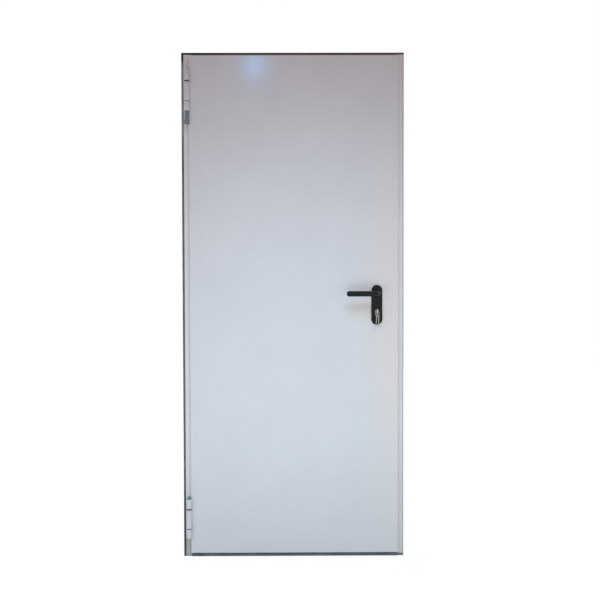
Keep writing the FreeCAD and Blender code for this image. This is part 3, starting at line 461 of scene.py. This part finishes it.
def leverBar(name, node, side):  # swept bend and domed tip
    low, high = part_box(node)
    radius = (high.z - low.z) / 2
    axisZ = (high.z + low.z) / 2
    spindleX = high.x - radius
    start = high.y if side < 0 else low.y
    barY = low.y + radius if side < 0 else high.y - radius
    mesh = bmesh.new()
    turn = Matrix.Translation((spindleX, start, axisZ)) @ Matrix.Rotation(math.radians(90), 4, "X")
    bmesh.ops.create_circle(mesh, cap_ends=False, segments=lever["segments"], radius=radius, matrix=turn)
    ring = list(mesh.edges)
    neckLength = abs(start - barY) - lever["bendRadius"]
    ring = extrudeRing(mesh, ring, Vector((0, side * neckLength, 0)))
    pivot = Vector((spindleX - lever["bendRadius"], barY - side * lever["bendRadius"], axisZ))
    verts = list({vert for edge in ring for vert in edge.verts})
    made = bmesh.ops.spin(mesh, geom=verts + ring, cent=pivot, axis=(0, 0, 1), angle=side * math.radians(90),
                          steps=lever["bendSteps"], use_duplicate=False)
    ring = [item for item in made["geom_last"] if isinstance(item, bmesh.types.BMEdge)]
    middle = Vector((pivot.x, barY, axisZ))
    straight = middle.x - low.x - lever["tipLength"]
    ring = extrudeRing(mesh, ring, Vector((-straight, 0, 0)))
    middle.x -= straight
    size = 1.0
    place = 0.0
    for step in range(1, lever["tipSteps"]):
        angle = math.radians(90) * step / lever["tipSteps"]
        nextSize = math.cos(angle)
        nextPlace = math.sin(angle) * lever["tipLength"]
        middle.x -= nextPlace - place
        ring = extrudeRing(mesh, ring, Vector((place - nextPlace, 0, 0)), nextSize / size, middle)
        size, place = nextSize, nextPlace
    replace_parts(finishPiece(mesh, name, "lever_set", "black_plastic", lever["flatFrom"]), node)


leverBar("frontLeverBar", "front_lever", -1)
leverBar("backLeverBar", "back_lever", 1)
print("levers made")

cap = {"segments": 40, "steps": 8, "inset": 0.001, "spikeHeight": 0.014}


# rings that shrink along a profile of (rise, width) shares
def hingeCap(mesh, base, height, profile):
    bmesh.ops.create_circle(mesh, cap_ends=False, segments=cap["segments"],
                            radius=knuckleRadius - cap["inset"], matrix=Matrix.Translation(base))
    ring = [edge for edge in mesh.edges
            if all((vert.co - base).length < knuckleRadius for vert in edge.verts)]
    middle = base.copy()
    rise, width = 0.0, 1.0
    for nextRise, nextWidth in profile:
        step = (nextRise - rise) * height
        middle.z += step
        ring = extrudeRing(mesh, ring, Vector((0, 0, step)), nextWidth / width, middle.copy())
        rise, width = nextRise, nextWidth
    bmesh.ops.edgeloop_fill(mesh, edges=ring)


upperLow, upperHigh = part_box("upper_hinge_frame_knuckles")
capLow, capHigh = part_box("hinge_caps")
sleeveLow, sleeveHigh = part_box("spring_sleeve")
hingeAxis = (sleeveLow + sleeveHigh) / 2
knuckleRadius = hingeAxis.y - upperLow.y
angles = [math.radians(90) * step / cap["steps"] for step in range(1, cap["steps"])]
dome = [(math.sin(angle), math.cos(angle)) for angle in angles] + [(1.0, 0.06)]
spike = [(0.12, 0.96), (0.86, 0.28), (0.95, 0.17), (1.0, 0.04)]
mesh = bmesh.new()
upperTop = Vector((hingeAxis.x, hingeAxis.y, upperHigh.z))
lowerTop = Vector((hingeAxis.x, hingeAxis.y, capLow.z))
hingeCap(mesh, upperTop, capHigh.z - upperHigh.z, dome)
hingeCap(mesh, lowerTop, cap["spikeHeight"], spike)
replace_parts(finishPiece(mesh, "hingeCaps", "frame", "hinge_cap"), "hinge_caps")

sleeve = {"segments": 64, "fluteEvery": 4, "fluteDepth": 0.0008, "edge": 0.0007}
mesh = bmesh.new()
middle = Vector((hingeAxis.x, hingeAxis.y, sleeveLow.z))
bmesh.ops.create_circle(mesh, cap_ends=True, segments=sleeve["segments"],
                        radius=(sleeveHigh.x - sleeveLow.x) / 2, matrix=Matrix.Translation(middle))
mesh.verts.ensure_lookup_table()
flutes = [vert for vert in mesh.verts if vert.index % sleeve["fluteEvery"] == 0]
for vert in flutes:
    bmesh.ops.translate(mesh, verts=[vert], vec=(middle - vert.co).normalized() * sleeve["fluteDepth"])
made = bmesh.ops.extrude_face_region(mesh, geom=list(mesh.faces))["geom"]
bmesh.ops.translate(mesh, verts=onlyVerts(made), vec=(0, 0, sleeveHigh.z - sleeveLow.z))
ends = [edge for edge in mesh.edges if len({round(vert.co.z, 6) for vert in edge.verts}) == 1]
roundEdges(mesh, ends, sleeve["edge"])
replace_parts(finishPiece(mesh, "springSleeve", "frame", "spring_steel"), "spring_sleeve")

collar = {"segments": 32, "holeTurns": (45.0, 135.0, 225.0, 315.0), "holeRim": 0.0003,
          "holeDepth": 0.0035, "holeRound": 0.0011, "edge": 0.0007, "flatFrom": 0.004,
          "wallTilt": 0.1, "bandShare": 0.125, "rimShare": 0.49}
collarLow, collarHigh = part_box("spring_collar")
collarHeight = collarHigh.z - collarLow.z
collarRadius = (collarHigh.x - collarLow.x) / 2
middle = Vector((hingeAxis.x, hingeAxis.y, (collarLow.z + collarHigh.z) / 2))
mesh = bmesh.new()
bmesh.ops.create_cone(mesh, cap_ends=True, segments=collar["segments"], radius1=collarRadius,
                      radius2=collarRadius, depth=collarHeight, matrix=Matrix.Translation(middle))
upright = [edge for edge in mesh.edges
           if abs(edge.verts[0].co.z - edge.verts[1].co.z) > collarHeight / 2]
bmesh.ops.subdivide_edges(mesh, edges=upright, cuts=2)
for turn in collar["holeTurns"]:  # holes for the pin that winds the spring
    outward = Vector((math.sin(math.radians(turn)), -math.cos(math.radians(turn)), 0.0))
    band = [face for face in mesh.faces if abs(face.normal.z) < collar["wallTilt"]
            and abs(face.calc_center_median().z - middle.z) < collarHeight * collar["bandShare"]]
    band.sort(key=lambda face: -(face.calc_center_median() - middle).normalized().dot(outward))
    face = bmesh.ops.dissolve_faces(mesh, faces=band[:2])["region"][0]
    bmesh.ops.inset_region(mesh, faces=[face], thickness=collar["holeRim"], depth=0.0)
    floorVerts = list(pushFace(mesh, face, -outward * collar["holeDepth"]).verts)
    walls = [edge for vert in floorVerts for edge in vert.link_edges
             if edge.other_vert(vert) not in floorVerts]
    roundEdges(mesh, walls, collar["holeRound"], segments=3)
rims = [edge for edge in mesh.edges
        if all(abs(vert.co.z - middle.z) > collarHeight * collar["rimShare"] for vert in edge.verts)]
roundEdges(mesh, rims, collar["edge"])
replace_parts(finishPiece(mesh, "springCollar", "frame", "spring_steel", collar["flatFrom"]), "spring_collar")

washer = {"radius": 0.0104, "depth": 0.0028, "drop": 0.0015, "segments": 40}
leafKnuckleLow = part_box("lower_hinge_leaf_knuckle")[0]
middle = Vector((hingeAxis.x, hingeAxis.y, leafKnuckleLow.z - washer["drop"]))
mesh = bmesh.new()
bmesh.ops.create_cone(mesh, cap_ends=True, segments=washer["segments"], radius1=washer["radius"],
                      radius2=washer["radius"], depth=washer["depth"], matrix=Matrix.Translation(middle))
finishPiece(mesh, "lowerWasher", "frame", "bearing_dark")
print("hinge pieces made")

screw = {"radius": 0.0042, "height": 0.0008, "recessDepth": 0.0005, "segments": 24, "sink": 0.0006,
         "endInset": 0.010, "shoulder": 0.2, "crown": 0.4, "rim": 0.3, "taper": 0.04}


def screwHead(mesh, place, normal, radius):  # low dome with a driver recess
    turn = Matrix.Translation(place) @ Vector((0, 0, 1)).rotation_difference(normal).to_matrix().to_4x4()
    made = bmesh.ops.create_circle(mesh, cap_ends=True, segments=screw["segments"], radius=radius,
                                   matrix=turn)["verts"]
    face = made[0].link_faces[0]
    for inset, lift in ((0.0, screw["height"]),
                        (radius * screw["shoulder"], screw["height"] * screw["crown"]),
                        (radius * screw["rim"], 0.0),
                        (radius * screw["taper"], -screw["recessDepth"])):
        if inset:
            bmesh.ops.inset_region(mesh, faces=[face], thickness=inset, depth=0.0)
        if lift:
            face = pushFace(mesh, face, normal * lift)


forendLow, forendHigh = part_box("forend")
lockMiddle = (forendLow.y + forendHigh.y) / 2
plugLow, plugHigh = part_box("lock_plug")
plugX, plugZ = (plugLow.x + plugHigh.x) / 2, (plugLow.z + plugHigh.z) / 2
forendFace = forendHigh.x - screw["sink"]
heights = [forendLow.z + screw["endInset"], forendHigh.z - screw["endInset"], plugZ]
mesh = bmesh.new()
for height in heights:
    screwHead(mesh, Vector((forendFace, lockMiddle, height)), Vector((1, 0, 0)), screw["radius"])
finishPiece(mesh, "forendScrews", "leaf", "bright_steel")
print("screws made")


plug = {"radius": 0.0065, "proud": 0.0008, "slot": (0.0011, 0.0036), "slotDepth": 0.0007, "sink": 0.0010,
        "edge": 0.0002, "segments": 40, "flatFrom": 0.001, "floorLift": 0.0002, "floorDepth": 0.0003}
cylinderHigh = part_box("profile_cylinder")[1]
middle = Vector((plugX, cylinderHigh.y + plug["proud"], plugZ))
mesh = bmesh.new()
bmesh.ops.create_circle(mesh, cap_ends=True, segments=plug["segments"], radius=plug["radius"],
                        matrix=Matrix.Translation(middle) @ Matrix.Rotation(math.radians(-90), 4, "X"))
halfWidth, halfHeight = plug["slot"]
for place, normal in ((Vector((halfWidth, 0, 0)), (1, 0, 0)), (Vector((-halfWidth, 0, 0)), (1, 0, 0)),
                      (Vector((0, 0, halfHeight)), (0, 0, 1)), (Vector((0, 0, -halfHeight)), (0, 0, 1))):
    bmesh.ops.bisect_plane(mesh, geom=list(mesh.verts) + list(mesh.edges) + list(mesh.faces),
                           plane_co=middle + place, plane_no=normal)
outerRim = [item for item in mesh.edges if item.is_boundary]
made = bmesh.ops.extrude_edge_only(mesh, edges=outerRim)["geom"]
bmesh.ops.translate(mesh, verts=onlyVerts(made), vec=(0, -plug["sink"], 0))
slotFace = min(mesh.faces, key=lambda face: (face.calc_center_median() - middle).length)
pushFace(mesh, slotFace, (0, -plug["slotDepth"], 0))
rim = [item for item in mesh.edges
       if all(abs((vert.co - middle).length - plug["radius"]) < meshRules["weld"] for vert in item.verts)]
roundEdges(mesh, rim, plug["edge"])
finishPiece(mesh, "backPlugFace", "leaf", "nickel", plug["flatFrom"])

mesh = bmesh.new()  # painted shade: a dark plate on the slot's floor stands for the deep keyway's shade
middle.y = cylinderHigh.y + plug["floorLift"]
bmesh.ops.create_grid(mesh, x_segments=1, y_segments=1, size=1.0,
                      matrix=Matrix.Translation(middle) @ Matrix.Diagonal((halfWidth, 1.0, halfHeight, 1.0))
                      @ Matrix.Rotation(math.radians(-90), 4, "X"))
bmesh.ops.solidify(mesh, geom=list(mesh.faces), thickness=plug["floorDepth"])
finishPiece(mesh, "keywayShadePlate", "leaf", "bearing_dark")

# two flat turns of wire side by side
splitRing = {"coils": (-0.00040, 0.00040), "radial": 0.00062, "side": 0.00038, "section": 14, "steps": 56}
ringLow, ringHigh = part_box("key_ring")
centre = (ringLow + ringHigh) / 2
wire = (ringHigh.y - ringLow.y) / 2
ringRadius = (ringHigh.x - ringLow.x) / 2 - wire
mesh = bmesh.new()
for offset in splitRing["coils"]:
    place = Matrix.Translation(centre + Vector((ringRadius, offset, 0.0)))
    shape = Matrix.Diagonal((splitRing["radial"], splitRing["side"], 1.0, 1.0))
    made = bmesh.ops.create_circle(mesh, cap_ends=False, segments=splitRing["section"], radius=1.0,
                                   matrix=place @ shape)
    ring = list(made["verts"]) + list({edge for vert in made["verts"] for edge in vert.link_edges})
    bmesh.ops.spin(mesh, geom=ring, cent=centre, axis=(0, 1, 0), angle=math.radians(360),
                   steps=splitRing["steps"], use_merge=True, use_duplicate=False)
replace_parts(finishPiece(mesh, "splitRing", bodyOf["key_ring"], "nickel"), "key_ring")
print("lock details made")


# floor, backdrop, lights and camera

# rays that show the white backdrop: the camera's, and those off gloss and through glass
def seenRays(tree):
    path = tree.nodes.new("ShaderNodeLightPath")
    direct = combine(tree, "MAXIMUM", path.outputs["Is Camera Ray"], path.outputs["Is Transmission Ray"])
    return combine(tree, "MAXIMUM", direct, path.outputs["Is Glossy Ray"])


floor = {"size": 14.0, "colour": (0.82, 0.82, 0.82), "whiteNear": 0.82, "whiteFar": 0.97,
         "nearTo": 0.5, "farFrom": 1.7, "glow": 1.10}
mesh = bmesh.new()
bmesh.ops.create_grid(mesh, x_segments=1, y_segments=1, size=floor["size"] / 2)
data = bpy.data.meshes.new("studioFloor")
mesh.to_mesh(data)
mesh.free()
floorPlane = bpy.data.objects.new("studioFloor", data)
bpy.context.scene.collection.objects.link(floorPlane)

material = bpy.data.materials.new("paleFloor")
material.use_nodes = True
tree = material.node_tree
tree.nodes.clear()
output = tree.nodes.new("ShaderNodeOutputMaterial")
diffuse = tree.nodes.new("ShaderNodeBsdfDiffuse")
diffuse.inputs["Color"].default_value = (*floor["colour"], 1.0)
glow = tree.nodes.new("ShaderNodeEmission")
glow.inputs["Color"].default_value = (1.0, 1.0, 1.0, 1.0)
glow.inputs["Strength"].default_value = floor["glow"]
coords = tree.nodes.new("ShaderNodeTexCoord")
length = tree.nodes.new("ShaderNodeVectorMath")
length.operation = "LENGTH"
tree.links.new(coords.outputs["Object"], length.inputs[0])
# shadows stay near the door, and the far floor meets the backdrop
whiteness = spread(tree, length.outputs["Value"], floor["nearTo"], floor["farFrom"],
                   floor["whiteNear"], floor["whiteFar"])
mixer = tree.nodes.new("ShaderNodeMixShader")
tree.links.new(combine(tree, "MULTIPLY", seenRays(tree), whiteness), mixer.inputs["Fac"])
tree.links.new(diffuse.outputs["BSDF"], mixer.inputs[1])
tree.links.new(glow.outputs["Emission"], mixer.inputs[2])
tree.links.new(mixer.outputs["Shader"], output.inputs["Surface"])
data.materials.append(material)

roomLight = {"strength": 0.234, "colour": (1.0, 0.885, 0.853)}
world = bpy.data.worlds.new("studio")
bpy.context.scene.world = world
world.use_nodes = True
tree = world.node_tree
tree.nodes.clear()
output = tree.nodes.new("ShaderNodeOutputWorld")
ambient = tree.nodes.new("ShaderNodeBackground")
ambient.inputs["Color"].default_value = (*roomLight["colour"], 1.0)
ambient.inputs["Strength"].default_value = roomLight["strength"]
white = tree.nodes.new("ShaderNodeBackground")
white.inputs["Color"].default_value = (1.0, 1.0, 1.0, 1.0)
mixer = tree.nodes.new("ShaderNodeMixShader")
tree.links.new(seenRays(tree), mixer.inputs["Fac"])
tree.links.new(ambient.outputs["Background"], mixer.inputs[1])
tree.links.new(white.outputs["Background"], mixer.inputs[2])
tree.links.new(mixer.outputs["Shader"], output.inputs["Surface"])

lamps = {
    "lowWindow": {"place": (-0.05, -1.30, 0.50), "target": (-0.05, 0.0, 0.50), "size": (3.0, 0.8),
                  "power": 15.5, "colour": (0.70, 0.885, 1.0)},
    "highWindow": {"place": (-0.05, -1.30, 1.10), "target": (-0.05, 0.0, 1.10), "size": (3.0, 0.8),
                   "power": 5.3, "colour": (1.0, 0.60, 0.60)},
    "softBox": {"place": (0.15, -1.40, 2.30), "target": (0.0, 0.0, 0.95), "size": (1.2, 0.6), "spread": 60.0,
                "power": 1.8, "colour": (0.60, 0.86, 1.0)},
    "topLamp": {"place": (0.0, -1.60, 2.60), "target": (0.0, 0.0, 2.0), "size": (1.6, 0.5), "spread": 80.0,
                "power": 0.66, "colour": (1.0, 0.60, 0.60)},
    "ceilingLamp": {"place": (-0.286, -2.80, 2.667), "target": (-0.155, 0.0, 2.00), "size": (0.085, 0.13),
                    "power": 1.6, "colour": (0.03, 0.47, 1.0), "shows": True},
    "backFill": {"place": (-1.2, 3.2, 2.2), "target": (0.0, 0.0, 1.0), "size": (2.0, 2.0),
                 "power": 40.0, "colour": (1.0, 0.98, 0.96)},
    "leftFill": {"place": (-2.8, 1.0, 1.3), "target": (-0.45, 0.05, 1.0), "size": (1.4, 1.8),
                 "power": 18.0, "colour": (0.80, 0.91, 1.0)},
    "rightFill": {"place": (2.8, 1.0, 1.3), "target": (0.45, 0.05, 1.0), "size": (1.4, 1.8),
                  "power": 18.0, "colour": (0.80, 0.91, 1.0)},
}
for name, look in lamps.items():
    data = bpy.data.lights.new(name, "AREA")
    data.shape = "RECTANGLE"
    data.size, data.size_y = look["size"]
    data.energy = look["power"]
    data.color = look["colour"]
    data.spread = math.radians(look.get("spread", 180.0))
    lamp = bpy.data.objects.new(name, data)
    lamp.location = look["place"]
    lamp.rotation_mode = "QUATERNION"
    lamp.rotation_quaternion = (Vector(look["target"]) - Vector(look["place"])).to_track_quat("-Z", "Y")
    lamp.visible_camera = False
    # only the ceiling lamp is mirrored in the paint, and it adds no other light
    lamp.visible_glossy = "shows" in look
    lamp.visible_diffuse = "shows" not in look
    bpy.context.scene.collection.objects.link(lamp)
print("lamps:", len(lamps))

view = {"place": (0.0106, -3.5, 1.1523), "yaw": 0.279, "pitch": -1.667, "roll": -0.138, "lens": 51.57}
yaw, pitch, roll = (math.radians(view[name]) for name in ("yaw", "pitch", "roll"))
rightward = Vector((math.cos(yaw), -math.sin(yaw), 0.0))
forward = Vector((math.sin(yaw) * math.cos(pitch), math.cos(yaw) * math.cos(pitch), math.sin(pitch)))
upward = rightward.cross(forward)
acrossPicture = rightward * math.cos(roll) + upward * math.sin(roll)
upPicture = upward * math.cos(roll) - rightward * math.sin(roll)
cameraData = bpy.data.cameras.new("camera")
cameraData.sensor_width = 36.0
cameraData.lens = view["lens"]
camera = bpy.data.objects.new("camera", cameraData)
axes = Matrix((acrossPicture, upPicture, -forward)).transposed()
camera.matrix_world = Matrix.Translation(view["place"]) @ axes.to_4x4()
bpy.context.scene.collection.objects.link(camera)
bpy.context.scene.camera = camera

bpy.context.scene.view_settings.view_transform = "Standard"
print("stage, lights and camera set")
